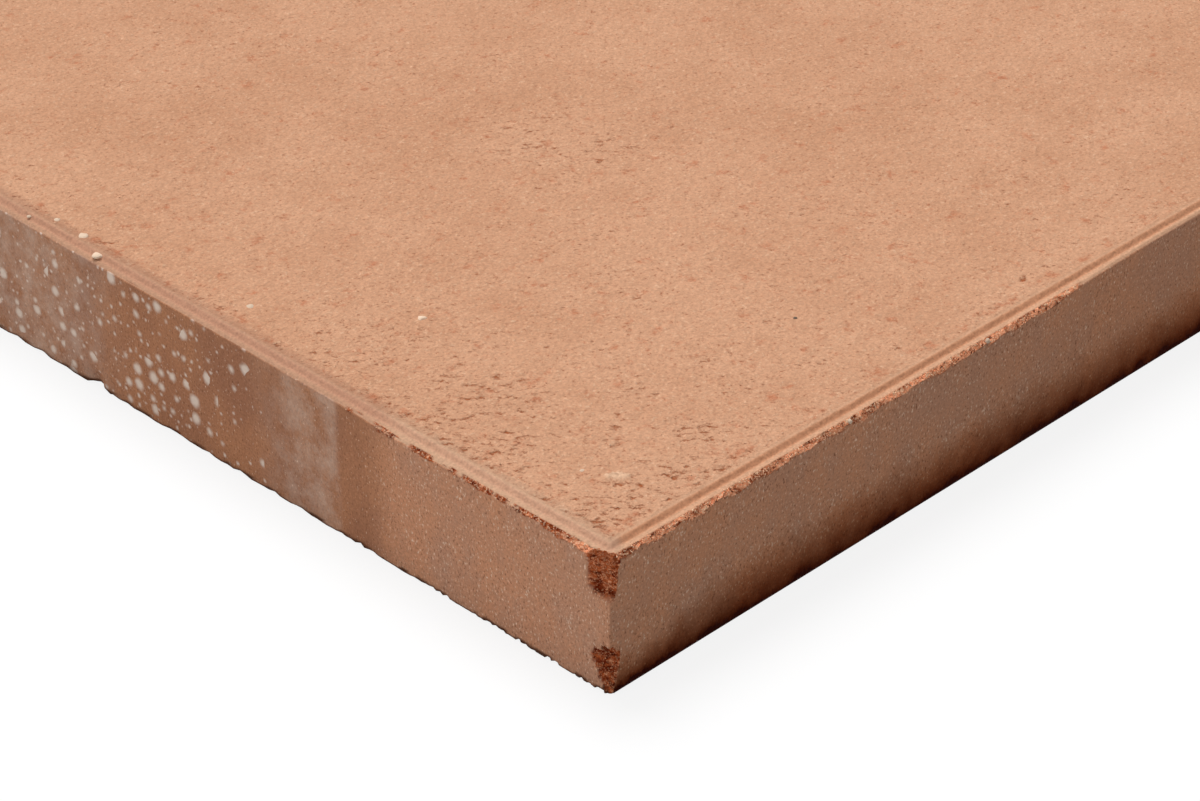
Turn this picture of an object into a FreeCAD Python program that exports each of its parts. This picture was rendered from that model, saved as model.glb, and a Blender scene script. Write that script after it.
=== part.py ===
"""Terracotta floor tile: one thick square slab of clay, pressed in a mould and fired in one piece.

The walking face is a raised field. A sloping step leads from it down to a narrow flat margin that runs
all round the tile. The arrises are eased, and one corner has lost two flakes of clay along its upright
edge. The tile lies flat on its underside. The origin is at the middle of the underside, X and Y run
along the edges, and Z points up through the walking face. Sizes are in millimetres.
"""

import FreeCAD, Part
import os

# Slab
SIDE = 300.0
THICKNESS = 25.0
UPRIGHT_EDGE_RADIUS = 0.4
BASE_EDGE_RADIUS = 0.3
TOP_ARRIS_BREAK = 0.3

# Raised walking field, and the margin and step round it
MARGIN_WIDTH = 0.9
MARGIN_DROP = 0.75
STEP_RUN = 1.1
STEP_CREST_RADIUS = 0.8
FIELD_CORNER_RADIUS = 0.6

# Flake lost from the top of the corner at low X and low Y: how far it reaches down and along each edge
TOP_FLAKE_HEIGHT = 7.3
TOP_FLAKE_ALONG_X = 2.3
TOP_FLAKE_ALONG_Y = 3.9
TOP_FLAKE_FOOT_SHARE = 0.75

# Flake lost from the bottom of the same corner: widest at its head, narrow at the underside
BASE_FLAKE_HEIGHT = 7.4
BASE_FLAKE_ALONG_X = 3.0
BASE_FLAKE_ALONG_Y = 3.9
BASE_FLAKE_FOOT_SHARE = 0.2

# A cutting wedge stands clear of the faces that it cuts by this share of its own runs
CUT_OVERREACH = 0.5

MARGIN_LEVEL = THICKNESS - MARGIN_DROP
TOLERANCE = 1e-6


def frustum(foot, head):
    """A solid with flat faces between two polygons of as many points, anticlockwise seen from above.

    Each side of the one is parallel to the same side of the other.
    """
    outlines = [foot[::-1], head]
    for start in range(len(foot)):
        end = (start + 1) % len(foot)
        outlines.append([foot[start], foot[end], head[end], head[start]])
    faces = [Part.Face(Part.makePolygon(points + points[:1])) for points in outlines]
    return Part.Solid(Part.Shell(faces))


def square(side, level):
    """The corners of a square centred on the Z axis, anticlockwise from low X and low Y."""
    half = side / 2.0
    signs = [(-1, -1), (1, -1), (1, 1), (-1, 1)]
    return [FreeCAD.Vector(x * half, y * half, level) for x, y in signs]


def edges_between(solid, low, high):
    """The edges of a solid that run from one height to another, or lie at it if both are the same."""
    found = []
    for edge in solid.Edges:
        box = edge.BoundBox
        if abs(box.ZMin - low) < TOLERANCE and abs(box.ZMax - high) < TOLERANCE:
            found.append(edge)
    return found


def make_slab():
    """The body of the tile up to the margin, with its arrises eased."""
    slab = frustum(square(SIDE, 0.0), square(SIDE, MARGIN_LEVEL))
    slab = slab.makeFillet(UPRIGHT_EDGE_RADIUS, edges_between(slab, 0.0, MARGIN_LEVEL))
    slab = slab.makeFillet(BASE_EDGE_RADIUS, edges_between(slab, 0.0, 0.0))
    return slab.makeChamfer(TOP_ARRIS_BREAK, edges_between(slab, MARGIN_LEVEL, MARGIN_LEVEL))


def make_field():
    """The raised field: a low frustum whose flanks are the step down to the margin."""
    foot_side = SIDE - 2.0 * MARGIN_WIDTH
    crest_side = foot_side - 2.0 * STEP_RUN
    field = frustum(square(foot_side, MARGIN_LEVEL), square(crest_side, THICKNESS))
    return field.makeFillet(FIELD_CORNER_RADIUS, edges_between(field, MARGIN_LEVEL, THICKNESS))


def corner_triangle(along_x, along_y, level):
    """A triangle across the corner at low X and low Y that reaches past both side faces."""
    corner = FreeCAD.Vector(-SIDE / 2.0, -SIDE / 2.0, level)
    run_x = FreeCAD.Vector(along_x, 0, 0)
    run_y = FreeCAD.Vector(0, along_y, 0)
    past_x = corner + run_x + (run_x - run_y) * CUT_OVERREACH
    past_y = corner + run_y + (run_y - run_x) * CUT_OVERREACH
    outside = corner - (run_x + run_y) * CUT_OVERREACH
    return [past_x, past_y, outside]


def make_top_flake():
    """The wedge missing from the top of the corner, open upwards."""
    share = TOP_FLAKE_FOOT_SHARE
    foot_level = MARGIN_LEVEL - TOP_FLAKE_HEIGHT
    foot = corner_triangle(TOP_FLAKE_ALONG_X * share, TOP_FLAKE_ALONG_Y * share, foot_level)
    head = corner_triangle(TOP_FLAKE_ALONG_X, TOP_FLAKE_ALONG_Y, MARGIN_LEVEL)
    sky = corner_triangle(TOP_FLAKE_ALONG_X, TOP_FLAKE_ALONG_Y, THICKNESS + MARGIN_DROP)
    return frustum(foot, head).fuse(frustum(head, sky))


def make_base_flake():
    """The wedge missing from the bottom of the corner."""
    share = BASE_FLAKE_FOOT_SHARE
    foot = corner_triangle(BASE_FLAKE_ALONG_X * share, BASE_FLAKE_ALONG_Y * share, 0.0)
    head = corner_triangle(BASE_FLAKE_ALONG_X, BASE_FLAKE_ALONG_Y, BASE_FLAKE_HEIGHT)
    return frustum(foot, head)


def make_tile():
    """The whole tile as one solid."""
    pressed = make_slab().fuse(make_field()).removeSplitter()
    pressed = pressed.makeFillet(STEP_CREST_RADIUS, edges_between(pressed, THICKNESS, THICKNESS))
    broken = pressed.cut([make_top_flake(), make_base_flake()])
    return broken.removeSplitter().Solids[0]


def main():
    tile = make_tile()
    os.makedirs("parts", exist_ok=True)
    tile.exportStep("parts/tile.step")
    box = tile.BoundBox
    print(f"tile: {box.XLength:.2f} x {box.YLength:.2f} x {box.ZLength:.2f} mm, "
          f"{tile.Volume / 1000.0:.1f} cm3, {len(tile.Faces)} faces, valid {tile.isValid()}")


main()
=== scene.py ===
# %% [markdown]
# # A terracotta floor tile
#
# The tile is one slab of clay that was pressed in a mould and fired. Seen close, its looks come from a
# few things: a raised walking field with torn pits, a smooth stepped rim, arrises that have crumbled
# away, a corner that has lost two flakes, and upright edges with a tight skin, sand specks, bloomed lime
# and painted shade along the foot. The shapes and the crumbs are made as geometry, and the finest grain
# is bump. The breaks carry painted light and shade in their colour.

# %% Load the imported tile
import math

import bmesh
import bpy
from mathutils import Matrix, Vector, noise


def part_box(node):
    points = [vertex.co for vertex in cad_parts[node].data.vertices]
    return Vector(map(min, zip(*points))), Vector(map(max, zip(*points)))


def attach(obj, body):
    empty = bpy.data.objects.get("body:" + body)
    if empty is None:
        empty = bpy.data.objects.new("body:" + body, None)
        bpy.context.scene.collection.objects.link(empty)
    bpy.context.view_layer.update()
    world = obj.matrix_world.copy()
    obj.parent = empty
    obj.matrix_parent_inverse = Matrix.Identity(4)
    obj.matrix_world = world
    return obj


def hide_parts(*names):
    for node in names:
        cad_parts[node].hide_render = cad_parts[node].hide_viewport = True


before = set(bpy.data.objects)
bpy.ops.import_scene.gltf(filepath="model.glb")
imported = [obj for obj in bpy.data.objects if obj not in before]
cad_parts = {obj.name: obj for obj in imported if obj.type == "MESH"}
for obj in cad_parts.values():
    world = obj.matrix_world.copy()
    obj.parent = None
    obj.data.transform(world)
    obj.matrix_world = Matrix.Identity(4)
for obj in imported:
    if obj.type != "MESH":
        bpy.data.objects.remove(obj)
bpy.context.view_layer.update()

MM = 0.001
tile_low, tile_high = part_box("tile")
SIDE = (tile_high.x - tile_low.x) / MM
THICKNESS = (tile_high.z - tile_low.z) / MM
HALF = SIDE / 2.0
print(f"tile: {SIDE:.1f} x {SIDE:.1f} x {THICKNESS:.1f} mm")

# %% [markdown]
# ## Three helpers
#
# Node trees can be wired by hand in the editor, but a script can be read and run again. One function adds
# any kind of node: it takes the node's settings, and for each input a value, a socket or another node. A
# second function turns the hex colour that a paint program shows, which is sRGB, into the linear colour
# that Blender computes with. The third is the soft ramp that shapes and masks are made of. Node settings
# that come often have names too.

# %% Helpers
def add_node(tree, kind, settings, inputs):
    """Add a node, set its properties, and fill its inputs with values, sockets or other nodes."""
    node = tree.nodes.new(kind)
    for name, value in settings.items():
        setattr(node, name, value)
    for key, value in inputs.items():
        if isinstance(value, bpy.types.Node):
            value = next(socket for socket in value.outputs if socket.enabled)
        if isinstance(value, bpy.types.NodeSocket):
            tree.links.new(value, node.inputs[key])
        else:
            node.inputs[key].default_value = value
    return node


def linear(hex_colour):
    """The linear RGBA of an sRGB hex colour."""
    channels = [int(hex_colour[start:start + 2], 16) / 255.0 for start in (1, 3, 5)]
    curve = [c / 12.92 if c <= 0.04045 else ((c + 0.055) / 1.055) ** 2.4 for c in channels]
    return (*curve, 1.0)


def ease(value, low, high):
    """A smooth 0 to 1 as a value goes from low to high."""
    share = min(max((value - low) / (high - low), 0.0), 1.0)
    return share * share * (3.0 - 2.0 * share)


MIX_COLOURS = {"data_type": "RGBA"}
TINT_COLOURS = {"data_type": "RGBA", "blend_type": "MULTIPLY"}
FACTOR, COLOUR_A, COLOUR_B = 0, 6, 7     # a Mix node's inputs when it mixes colours
SMOOTH = {"interpolation_type": "SMOOTHSTEP"}
TIMES = {"operation": "MULTIPLY"}
PLUS = {"operation": "ADD"}
LESS = {"operation": "SUBTRACT"}
LARGER = {"operation": "MAXIMUM"}
TIMES_PLUS = {"operation": "MULTIPLY_ADD"}
CLAMPED_LESS = {"operation": "SUBTRACT", "use_clamp": True}
WHITE = "#ffffff"
NOISE_MEAN = 0.5

# %% [markdown]
# ## The grid that the slab is made on
#
# A dense even grid over the whole tile would spend most of its faces far from the broken corner, where
# the eye looks. So the grid's lines stand a quarter of a millimetre apart at that corner and spread out
# away from it. A few lines at each rim follow the margin and the step. A nick in the base of one edge
# gets lines of its own.

# %% Grid lines
RIM_LINES = [0.0, 0.1, 0.2, 0.3, 0.4, 0.55, 0.75, 0.95, 1.1, 1.25, 1.4, 1.55, 1.7, 1.85, 2.05, 2.3, 2.6]
FIRST_SPACING = 0.27
SPACING_GROWTH = 1.015
WIDEST_SPACING = 3.0
LAST_GAP = 1.5

NICK_PLACE = 117.0
NICK_WIDTH = 3.4
NICK_LINE_COUNT = 8


def grid_lines():
    """Distances along an edge, in mm, from the broken corner."""
    lines = list(RIM_LINES)
    spacing = FIRST_SPACING
    last = SIDE - RIM_LINES[-1]
    while lines[-1] + LAST_GAP * spacing < last:
        lines.append(lines[-1] + spacing)
        spacing = min(spacing * SPACING_GROWTH, WIDEST_SPACING)
    return lines + [SIDE - line for line in reversed(RIM_LINES)]


def with_nick_lines(lines):
    """The same lines with close ones across the nick."""
    start = NICK_PLACE - NICK_WIDTH
    spacing = 2.0 * NICK_WIDTH / (NICK_LINE_COUNT - 1)
    nick = [start + spacing * number for number in range(NICK_LINE_COUNT)]
    clear = [line for line in lines if line < nick[0] - spacing / 2 or line > nick[-1] + spacing / 2]
    return sorted(clear + nick)


lines_x = grid_lines()
lines_y = with_nick_lines(grid_lines())
print(f"grid: {len(lines_x)} x {len(lines_y)} lines")

# %% [markdown]
# ## The pressed form
#
# The top's height depends only on how far a point lies in from the nearest side: the flat margin, the
# step and then the field. Taking the smaller of the two distances mitres the step at the corners, and a
# little blending there rounds the mitre as the mould did. Near the broken corner the two sides that meet
# there lean out by half a millimetre towards the top. One raised scab of clay lies on the field close by.

# %% Section of the rim
MARGIN_WIDTH = 0.9
MARGIN_DROP = 0.75
STEP_RUN = 1.1
STEP_TRIM = 0.13
MITRE_BLEND = 0.7
MARGIN_LEVEL = THICKNESS - MARGIN_DROP
CREST = MARGIN_WIDTH + STEP_RUN


def top_height(inset):
    """Height of the top, in mm, at a distance in from the nearest side."""
    return MARGIN_LEVEL + MARGIN_DROP * ease(inset, MARGIN_WIDTH + STEP_TRIM, CREST - STEP_TRIM)


def blended_inset(inset_x, inset_y):
    """The smaller of two distances, eased where they are nearly the same."""
    overlap = max(MITRE_BLEND - abs(inset_x - inset_y), 0.0)
    return min(inset_x, inset_y) - overlap ** 2 / (4.0 * MITRE_BLEND)


print(f"rim: margin at {MARGIN_LEVEL:.2f} mm, crest {CREST:.1f} mm in")

# %% Scab
SCAB = {"along_x": 14.4, "along_y": 12.6, "half_across": 2.1, "half_ahead": 0.9}
SCAB_EDGE = 0.86
SCAB_HEIGHT = 0.32
SCAB_PALE = 0.7


def on_scab(along_x, along_y):
    """1 on the raised scab of clay, which lies across the tile's diagonal, and 0 off it."""
    from_x = along_x - SCAB["along_x"]
    from_y = along_y - SCAB["along_y"]
    across = (from_x - from_y) / math.sqrt(2.0) / SCAB["half_across"]
    ahead = (from_x + from_y) / math.sqrt(2.0) / SCAB["half_ahead"]
    return 1.0 - ease(math.hypot(across, ahead), SCAB_EDGE, 1.0)


# %% Leaning sides and upright edge
SIDE_LEAN = 0.55
LEAN_REACH = 0.5
LEAN_FADE_X = (95.0, 125.0)
LEAN_FADE_Y = (42.0, 60.0)
UPRIGHT_EDGE_RADIUS = 0.12


def side_leans(along_x, along_y):
    """How far the low X side and the low Y side lean out at the top, in mm. The far sides stand upright."""
    lean_x = SIDE_LEAN * (1.0 - ease(along_y, *LEAN_FADE_Y)) if along_x < HALF else 0.0
    lean_y = SIDE_LEAN * (1.0 - ease(along_x, *LEAN_FADE_X)) if along_y < HALF else 0.0
    return lean_x, lean_y


def leaned(inset, height, lean):
    """Inset of a point after its side leans out towards the top."""
    return inset - lean * min(height / MARGIN_LEVEL, 1.0) * max(1.0 - inset / LEAN_REACH, 0.0)


def rounded_corner(inset_x, inset_y):
    """Insets of a point after the upright edge is rounded."""
    radius = UPRIGHT_EDGE_RADIUS
    reach = math.hypot(radius - inset_x, radius - inset_y)
    if inset_x > radius or inset_y > radius or reach <= radius:
        return inset_x, inset_y
    pull = radius / reach
    return radius - (radius - inset_x) * pull, radius - (radius - inset_y) * pull


print(f"lean at the broken corner: {side_leans(0.0, 0.0)} mm")

# %% [markdown]
# ## The broken corner
#
# Clay breaks off a corner in flakes. Each flake leaves a rough face across the corner and a ledge where
# the break stopped. A point that lies outside a flake's face is moved straight onto it. Noise that is
# drawn out level makes thin layers in the face and a ragged border. How deep a point was moved is kept as
# a mask, so that the finish knows where the raw inside of the clay shows.

# %% Flakes
TOP_FLAKE = {"along_x": 1.6, "along_y": 2.9, "foot": MARGIN_LEVEL - 7.3, "head": THICKNESS + 2.0,
             "foot_share": (0.5, 0.95), "slope_x": 0.0, "slope_y": 0.0}
BASE_FLAKE = {"along_x": 2.7, "along_y": 4.6, "foot": -0.5, "head": 8.4,
              "foot_share": (0.28, 0.18), "slope_x": -0.7, "slope_y": -0.44}
FLAKE_LEDGE = 0.45
LAYER_SIZE = Vector((2.2, 2.2, 0.9))
LAYER_SHARE = 0.3
BORDER_RAGGED = 0.5
BORDER_FINENESS = 2.0
BREAK_EDGE_DEPTH = 0.15


def flake_depth(flake, along_x, along_y, height):
    """How far a point lies outside a flake's face, in mm, and the face's inward direction."""
    place = Vector((along_x / LAYER_SIZE.x, along_y / LAYER_SIZE.y, height / LAYER_SIZE.z))
    wobble = BORDER_RAGGED * noise.noise(place * BORDER_FINENESS)
    head = flake["head"] + flake["slope_x"] * along_x + flake["slope_y"] * along_y
    ledge = (min(height - flake["foot"], head - height) + wobble) / FLAKE_LEDGE
    if ledge <= 0.0:
        return 0.0, Vector((0.0, 0.0))
    rise = min(max((height - flake["foot"]) / (flake["head"] - flake["foot"]), 0.0), 1.0)
    layer = min(ledge, 1.0) * (1.0 + LAYER_SHARE * noise.noise(place))
    run_x, run_y = [run * (foot + (1.0 - foot) * rise) * layer
                    for run, foot in zip((flake["along_x"], flake["along_y"]), flake["foot_share"])]
    face = Vector((1.0 / run_x, 1.0 / run_y))
    outside = 1.0 - along_x * face.x - along_y * face.y
    return max(outside, 0.0) / face.length, face.normalized()


def break_corner(along_x, along_y, height):
    """A point's new place along X and Y, and how far it was moved."""
    for flake in (TOP_FLAKE, BASE_FLAKE):
        depth, inward = flake_depth(flake, along_x, along_y, height)
        if depth > 0.0:
            return along_x + inward.x * depth, along_y + inward.y * depth, depth
    return along_x, along_y, 0.0


print(f"upper flake: {flake_depth(TOP_FLAKE, 0.0, 0.0, MARGIN_LEVEL)[0]:.2f} mm deep at the arris")

# %% Nick
NICK_HEIGHT = 3.0
NICK_DEPTH = 1.3


def nick_depth(along_x, along_y, height):
    """How far the nick in the base of the low X edge reaches in at a point of that edge, in mm."""
    if along_x > 0.0 or height > NICK_HEIGHT:
        return 0.0
    across = abs(along_y - NICK_PLACE) / (NICK_WIDTH / 2.0)
    return NICK_DEPTH * max(1.0 - across ** 2, 0.0) * (1.0 - height / NICK_HEIGHT) ** 0.5


print(f"nick: {nick_depth(0.0, NICK_PLACE, 0.0):.1f} mm deep at the foot")

# %% [markdown]
# ## Crumbled arrises
#
# The sharp edge round the top has crumbled, most of all on the two edges that meet at the broken corner.
# A bevel would be too even. Here each place along an edge has a sloping break of its own height: slow
# noise gives the chips, and quick noise their ragged outline. A point outside the break is moved straight
# onto it.

# %% Crumbled arrises
CHIP_HEIGHT = 0.9
CHIP_WIDTH = 0.65
CHIP_WIDTH_SHARE = 1.3
CHIP_LENGTH = 4.0
CHIP_SWING = 0.8
CHIP_EDGE = 0.1
RAGGED_SIZE = 0.9
RAGGED_SHARE = 0.6
LEAST_CHIP = 0.4
WEAR_ALONG_X = [(101.0, 1.3)]
WEAR_ALONG_Y = [(12.0, 1.2), (50.0, 0.55)]
REST_WEAR = -0.25
WEAR_FADE = 6.0


def wear_along(along, stages):
    """How worn an arris is at a distance from the broken corner. A stage has an end, in mm, and a wear."""
    wear = REST_WEAR
    for end, stage in reversed(stages):
        wear += (stage - wear) * (1.0 - ease(along, end, end + WEAR_FADE))
    return wear


def break_height(place, along, stages):
    """How far down an arris is broken at a place, in mm."""
    chips = CHIP_SWING * noise.noise(place / CHIP_LENGTH)
    ragged_edge = RAGGED_SHARE * noise.noise(place / RAGGED_SIZE)
    return max(CHIP_HEIGHT * (wear_along(along, stages) + chips + ragged_edge), LEAST_CHIP)


def crumble(inset, drop, tall, lean):
    """Inset and drop of a point after it is moved onto an arris's break, and how much was lost there."""
    slope = Vector((1.0 / min(CHIP_WIDTH, CHIP_WIDTH_SHARE * tall), 1.0 / tall))
    outside = max(1.0 - (inset + lean) * slope.x - drop * slope.y, 0.0)
    move = slope * (outside / slope.length_squared)
    return inset + move.x, drop + move.y, min(outside * tall, tall - LEAST_CHIP)


def crumble_arrises(x, y, height):
    """A point's new place after the four arrises have crumbled, and the height of what was lost there."""
    place = Vector((x, y, height))
    stages_x = WEAR_ALONG_X if y < HALF else []
    stages_y = WEAR_ALONG_Y if x < HALF else []
    lean_x, lean_y = side_leans(x, y)
    drop = MARGIN_LEVEL - height
    inset_y, drop, lost_y = crumble(min(y, SIDE - y), drop, break_height(place, x, stages_x), lean_y)
    inset_x, drop, lost_x = crumble(min(x, SIDE - x), drop, break_height(place, y, stages_y), lean_x)
    x = inset_x if x < HALF else SIDE - inset_x
    y = inset_y if y < HALF else SIDE - inset_y
    return x, y, MARGIN_LEVEL - drop, max(lost_x, lost_y)


print(f"wear of the low Y arris: {wear_along(0.0, WEAR_ALONG_X):.2f} at the broken corner")

# %% [markdown]
# ## Masks that go with each point
#
# The relief and the finish both need to know where on the tile a point is. Node trees can work that out
# from its position, but here it is plain to compute while the points are made: the gap to the foot and
# how worn that is, how much of the smooth skin is there, what is broken, and how thickly the field is
# torn. The field is torn most near the broken corner, beside the step and in a few patches.

# %% Masks
FOOT_STEEPNESS = 3.0
CLOSE_SPACING = 0.8
WIDE_SPACING = 2.2
FOOT_WEAR_X = 0.0
FOOT_WEAR_Y = 1.0
REST_FOOT_WEAR = 0.5
TORN_NEAR = 0.095
TORN_NEAR_LENGTH = 55.0
TORN_BESIDE_STEP = 0.035
RUBBED_START = (2.5, 3.3)
RUBBED_END = (4.0, 5.6)
TORN_END = (4.0, 9.0)
TORN_PATCH_CORE = 0.3
SKIN_FADE = (CREST - 0.1, CREST + 0.7)
STEP_RISE = (MARGIN_WIDTH - 0.1, MARGIN_WIDTH + 0.25)
STEP_FADE = (CREST - 0.3, CREST)
TORN_PATCHES = [     # along X, along Y, radius and strength
    (78.0, 89.0, 20.0, 0.06), (88.7, 45.3, 2.6, 0.16), (4.3, 6.2, 1.8, 0.1), (20.4, 6.9, 1.4, 0.12),
    (9.8, 29.3, 5.0, 0.06), (30.6, 13.6, 6.0, 0.05), (99.4, 6.4, 1.3, 0.3), (13.0, 12.0, 1.4, 0.06),
    (12.0, 42.0, 16.0, 0.05), (16.0, 66.0, 16.0, 0.05),
]


def value_of_edge(along_x, along_y, on_x, on_y, rest):
    """A value for the nearest edge: the low Y edge runs along X, and the low X edge runs along Y."""
    nearest = min(along_x, along_y, SIDE - along_x, SIDE - along_y)
    if nearest == along_y:
        return on_x
    if nearest == along_x:
        return on_y
    return rest


def torn_share(along_x, along_y, inset):
    """How thickly the field is torn at a place."""
    torn = TORN_NEAR * math.exp(-math.hypot(along_x, along_y) / TORN_NEAR_LENGTH)
    torn += TORN_BESIDE_STEP * ease(inset, *RUBBED_START) * (1.0 - ease(inset, *TORN_END))
    for patch_x, patch_y, radius, strength in TORN_PATCHES:
        distance = math.hypot(along_x - patch_x, along_y - patch_y)
        torn += strength * (1.0 - ease(distance, TORN_PATCH_CORE * radius, radius))
    return torn


def local_spacing(lines):
    """The wider of the two gaps beside each line."""
    gaps = [after - before for before, after in zip(lines, lines[1:])]
    return [max(pair) for pair in zip(gaps[:1] + gaps, gaps + gaps[-1:])]


print(f"torn share of the field: {torn_share(CREST, CREST, CREST):.3f} at the broken corner")

# %% [markdown]
# ## The slab's mesh
#
# The points come in turn: the grid of the top, then a ring for each row down the four sides, then a ring
# just inside the underside's edge. The rows are close together at the arris and at the foot, where the
# clay has crumbled. One flat many-sided face closes the underside.

# %% Rows down the sides
ROWS_FROM_TOP = [0.15, 0.3, 0.45, 0.6, 0.8, 1.0, 1.25, 1.5, 1.9, 2.5]
ROWS_FROM_BASE = [2.4, 1.9, 1.4, 0.9, 0.4, 0.0]
ROW_SPACING = 0.9


def row_heights():
    """Heights of the rows down the sides, in mm, from the top."""
    upper = [MARGIN_LEVEL - drop for drop in ROWS_FROM_TOP]
    span = upper[-1] - ROWS_FROM_BASE[0]
    count = round(span / ROW_SPACING)
    middle = [upper[-1] - span * number / count for number in range(1, count)]
    return upper + middle + ROWS_FROM_BASE


print(f"sides: {len(row_heights())} rows")

# %% One point
points = []
masks = {name: [] for name in
         ("foot_gap", "foot_wear", "skin", "side", "step", "rubbed", "fine", "torn", "crumb", "broken",
          "crumbled")}


def shaped_point(along_x, along_y, height):
    """Where a point of the plain slab ends up, in mm, and how much its flake and its arris lost there."""
    inset_x = min(along_x, SIDE - along_x)
    inset_y = min(along_y, SIDE - along_y)
    round_x, round_y = rounded_corner(inset_x, inset_y)
    lean_x, lean_y = side_leans(along_x, along_y)
    out_x = leaned(round_x, height, lean_x)
    out_y = leaned(round_y, height, lean_y)
    x = out_x if along_x < HALF else SIDE - out_x
    y = out_y if along_y < HALF else SIDE - out_y
    x, y, depth = break_corner(x, y, height)
    x += nick_depth(along_x, along_y, height)
    x, y, level, lost = crumble_arrises(x, y, height)
    return x, y, level, depth, lost


def add_point(along_x, along_y, height, side, spacing):
    """Add one point, measured in mm from the broken corner, with its masks."""
    x, y, level, depth, lost = shaped_point(along_x, along_y, height)
    points.append(((x - HALF) * MM, (y - HALF) * MM, level * MM))
    inset = min(along_x, along_y, SIDE - along_x, SIDE - along_y)
    top_skin = 1.0 - ease(inset, *SKIN_FADE)
    step = ease(inset, *STEP_RISE) * (1.0 - ease(inset, *STEP_FADE))
    masks["foot_gap"].append(height + FOOT_STEEPNESS * inset)
    masks["foot_wear"].append(value_of_edge(along_x, along_y, FOOT_WEAR_X, FOOT_WEAR_Y, REST_FOOT_WEAR))
    masks["skin"].append(max(top_skin, side))
    masks["side"].append(side)
    masks["step"].append(step * (1.0 - side))
    masks["rubbed"].append(ease(inset, *RUBBED_START) * (1.0 - ease(inset, *RUBBED_END)))
    masks["fine"].append(1.0 - ease(spacing, CLOSE_SPACING, WIDE_SPACING))
    masks["torn"].append(torn_share(along_x, along_y, inset))
    masks["crumb"].append(SCAB_PALE * on_scab(along_x, along_y) * (1.0 - side))
    masks["crumbled"].append(ease(lost, 0.0, CHIP_EDGE))
    masks["broken"].append(max(ease(depth, 0.0, BREAK_EDGE_DEPTH), masks["crumbled"][-1]))


# %% Grid of the top
spacing_x = local_spacing(lines_x)
spacing_y = local_spacing(lines_y)
for along_x, step_x in zip(lines_x, spacing_x):
    for along_y, step_y in zip(lines_y, spacing_y):
        inset = blended_inset(min(along_x, SIDE - along_x), min(along_y, SIDE - along_y))
        height = top_height(inset) + SCAB_HEIGHT * on_scab(along_x, along_y)
        add_point(along_x, along_y, height, 0.0, max(step_x, step_y))

count_x, count_y = len(lines_x), len(lines_y)
faces = []
for i in range(count_x - 1):
    for j in range(count_y - 1):
        corner = i * count_y + j
        faces.append((corner, corner + count_y, corner + count_y + 1, corner + 1))

print(f"top: {len(points)} points")

# %% Sides and underside
UNDERSIDE_RING = 3.0

border = [(i, 0) for i in range(count_x)]
border += [(count_x - 1, j) for j in range(1, count_y)]
border += [(i, count_y - 1) for i in range(count_x - 2, -1, -1)]
border += [(0, j) for j in range(count_y - 2, 0, -1)]


def add_wall(upper, lower):
    """Join two rings of points with a band of faces that look outwards."""
    for here in range(len(upper)):
        after = (here + 1) % len(upper)
        faces.append((lower[here], lower[after], upper[after], upper[here]))


def add_ring(height, inset):
    """Add a ring of points at one height, drawn in from the sides, and return their numbers."""
    start = len(points)
    shrink = 1.0 - 2.0 * inset / SIDE
    for i, j in border:
        spacing = spacing_x[i] if j in (0, count_y - 1) else spacing_y[j]
        add_point(inset + lines_x[i] * shrink, inset + lines_y[j] * shrink, height, 1.0, spacing)
    return list(range(start, len(points)))


ring = [i * count_y + j for i, j in border]
for height in row_heights():
    lower_ring = add_ring(height, 0.0)
    add_wall(ring, lower_ring)
    ring = lower_ring
underside_ring = add_ring(0.0, UNDERSIDE_RING)
add_wall(ring, underside_ring)
faces.append(tuple(reversed(underside_ring)))

print(f"border: {len(border)} points in each ring")

# %% Slab
slab = bpy.data.meshes.new("terracotta_tile")
slab.from_pydata(points, [], faces)
for name, values in masks.items():
    slab.attributes.new(name, "FLOAT", "POINT").data.foreach_set("value", values)
slab.shade_smooth()
slab.polygons[len(slab.polygons) - 1].use_smooth = False
slab.update()
print(f"slab: {len(slab.vertices)} points, {len(slab.polygons)} faces, valid {not slab.validate()}")

# %% [markdown]
# ## Places in millimetres
#
# Both the finish and the relief draw their patterns in space, in millimetres from the middle of the
# underside. A texture's scale is then one over the size of its pattern. Noise is used at the size of
# blotches, crumbs and sand, and noise cut off at a level gives ragged islands, such as torn pits. Voronoi
# cells give round things that lie apart: in each cell a random colour decides whether there is a spot and
# how large it is.

# %% Pattern helpers
TEAR_SIZE = 1.15
TEAR_START = 0.635
TEAR_FULL = 0.8
TEAR_TURN = math.radians(45.0)
TEAR_DRAWN = 1.7


def torn_place(tree, place):
    """A place on the field, drawn out along the tile's diagonal as the tears are, whatever its height."""
    turned = add_node(tree, "ShaderNodeVectorRotate", {"rotation_type": "Z_AXIS"},
                      {"Vector": place, "Angle": TEAR_TURN})
    return add_node(tree, "ShaderNodeVectorMath", TIMES, {0: turned, 1: (1.0 / TEAR_DRAWN, 1.0, 0.0)})


def torn_pits(tree, flat, torn):
    """Ragged pits where clay came away with the mould: 1 in a pit and 0 outside."""
    tear = add_node(tree, "ShaderNodeTexNoise", {},
                    {"Vector": flat, "Scale": 1.0 / TEAR_SIZE, "Detail": 4.0, "Roughness": 0.7})
    level = add_node(tree, "ShaderNodeMath", PLUS, {0: tear, 1: torn})
    return add_node(tree, "ShaderNodeMapRange", SMOOTH,
                    {"Value": level, "From Min": TEAR_START, "From Max": TEAR_FULL})


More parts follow.
